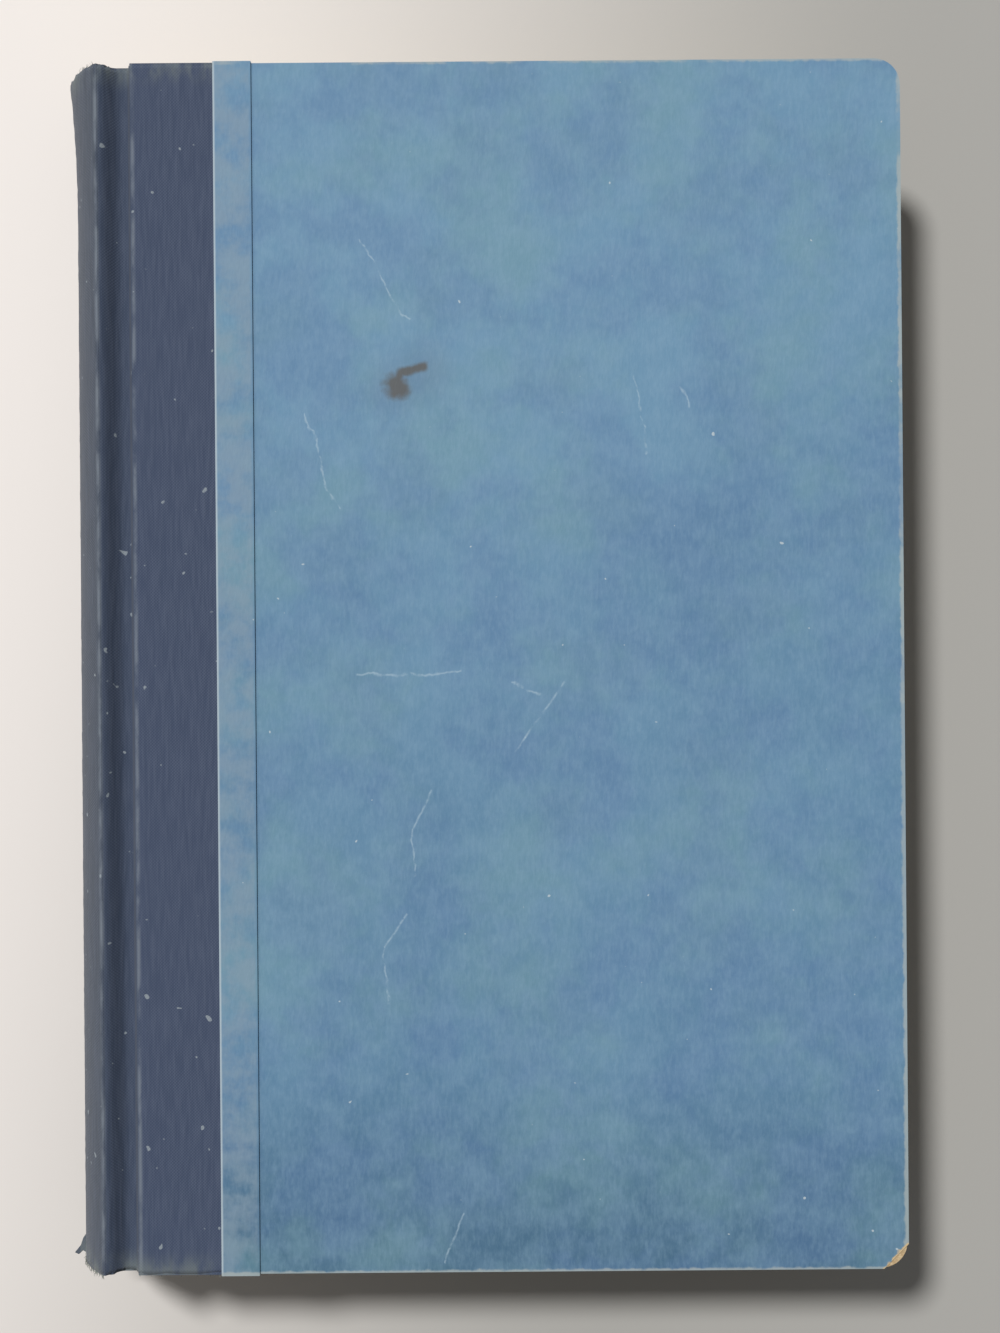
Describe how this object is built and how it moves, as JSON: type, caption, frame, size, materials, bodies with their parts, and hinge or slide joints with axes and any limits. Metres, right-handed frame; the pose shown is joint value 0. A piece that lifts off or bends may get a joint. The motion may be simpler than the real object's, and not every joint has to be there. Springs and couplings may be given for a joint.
{
  "type": "hardback book",
  "caption": "Worn quarter-bound hardback book with a dark cloth spine, blue paper sides and covers that open on their joints.",
  "frame": {"origin": "under the middle of the shut book, on the surface that its back cover lies on", "axes": "+X from the spine to the fore edge, +Y to the head of the book, +Z out of the front cover"},
  "size_m": [0.15, 0.2166, 0.0305],
  "materials": {
    "page_paper": "toned book paper",
    "endpaper": "plain uncoated",
    "mull_gauze": "open starched weave",
    "lining_paper": "brown kraft",
    "band_tape": "striped woven tape",
    "spine_card": "grey-brown card",
    "book_cloth": "rubbed navy book cloth",
    "board_card": "bare millboard",
    "side_paper": "matt blue, rubbed"
  },
  "bodies": {
    "book_block": {"text_block": "page_paper", "front_flyleaf": "endpaper", "back_flyleaf": "endpaper", "spine_mull": "mull_gauze", "spine_lining": "lining_paper", "head_band": "band_tape", "tail_band": "band_tape", "spine_inlay": "spine_card", "spine_cloth": "book_cloth"},
    "front_cover": {"front_board": "board_card", "front_cloth_lap": "book_cloth", "front_mull_flap": "mull_gauze", "front_side_paper": "side_paper", "front_pastedown": "endpaper"},
    "back_cover": {"back_board": "board_card", "back_cloth_lap": "book_cloth", "back_mull_flap": "mull_gauze", "back_side_paper": "side_paper", "back_pastedown": "endpaper"}
  },
  "joints": [
    {"name": "front_joint", "type": "hinge", "parent": "book_block", "child": "front_cover", "pos_m": [-0.06512, 0, 0.0305], "axis": [0, -1, 0], "range_deg": [0, 180]},
    {"name": "back_joint", "type": "hinge", "parent": "book_block", "child": "back_cover", "pos_m": [-0.06512, 0, 0], "axis": [0, 1, 0], "range_deg": [0, 180]}
  ]
}
